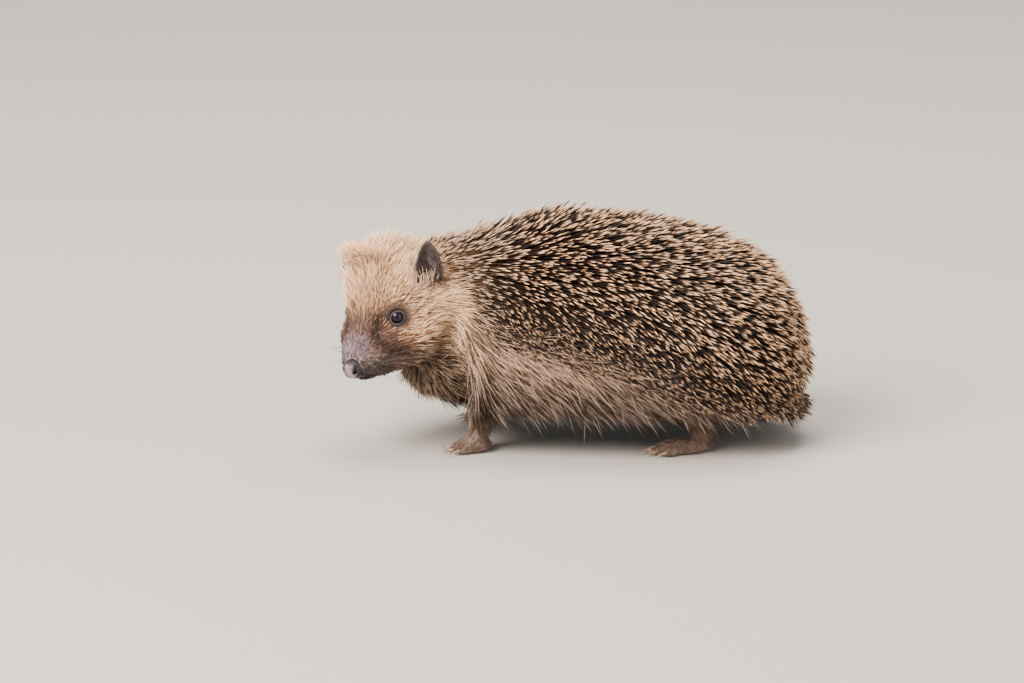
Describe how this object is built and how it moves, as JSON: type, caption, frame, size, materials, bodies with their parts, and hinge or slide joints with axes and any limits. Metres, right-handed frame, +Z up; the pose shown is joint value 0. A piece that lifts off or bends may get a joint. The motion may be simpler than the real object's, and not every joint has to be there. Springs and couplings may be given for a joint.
{
  "type": "hedgehog",
  "caption": "Still, life-size model of a young hedgehog standing on its soles: domed spiny back, pointed snout, head lowered and turned to its left, short tail.",
  "frame": {"origin": "on the floor under the middle of the bounding box, level with the soles", "axes": "+Z up; the animal's body faces -X, so its left side is towards -Y; the body's length lies along X"},
  "size_m": [0.204, 0.1022, 0.0991],
  "materials": {
    "fur": "coarse straw-cream hair, matt",
    "quills": "horny spines banded dark brown and cream, satin",
    "skin": "bare grey-brown skin of the feet and tail, satin",
    "ear": "dark, thinly haired skin",
    "nose": "moist dark slate skin",
    "eye": "wet, near-black, glossy",
    "claw": "smooth pale brown horn"
  },
  "bodies": {
    "root": {"head": "fur", "neck": "fur", "trunk": "quills", "tail": "skin", "nose": "nose", "ear_left": "ear", "ear_right": "ear", "eye_left": "eye", "eye_right": "eye", "foreleg_left": "fur", "foreleg_right": "fur", "hindleg_left": "fur", "hindleg_right": "fur", "forefoot_left": "skin", "forefoot_right": "skin", "hindfoot_left": "skin", "hindfoot_right": "skin", "forefoot_left_claw_1": "claw", "forefoot_left_claw_2": "claw", "forefoot_left_claw_3": "claw", "forefoot_left_claw_4": "claw", "forefoot_left_claw_5": "claw", "forefoot_right_claw_1": "claw", "forefoot_right_claw_2": "claw", "forefoot_right_claw_3": "claw", "forefoot_right_claw_4": "claw", "forefoot_right_claw_5": "claw", "hindfoot_left_claw_1": "claw", "hindfoot_left_claw_2": "claw", "hindfoot_left_claw_3": "claw", "hindfoot_left_claw_4": "claw", "hindfoot_left_claw_5": "claw", "hindfoot_right_claw_1": "claw", "hindfoot_right_claw_2": "claw", "hindfoot_right_claw_3": "claw", "hindfoot_right_claw_4": "claw", "hindfoot_right_claw_5": "claw"}
  },
  "joints": []
}
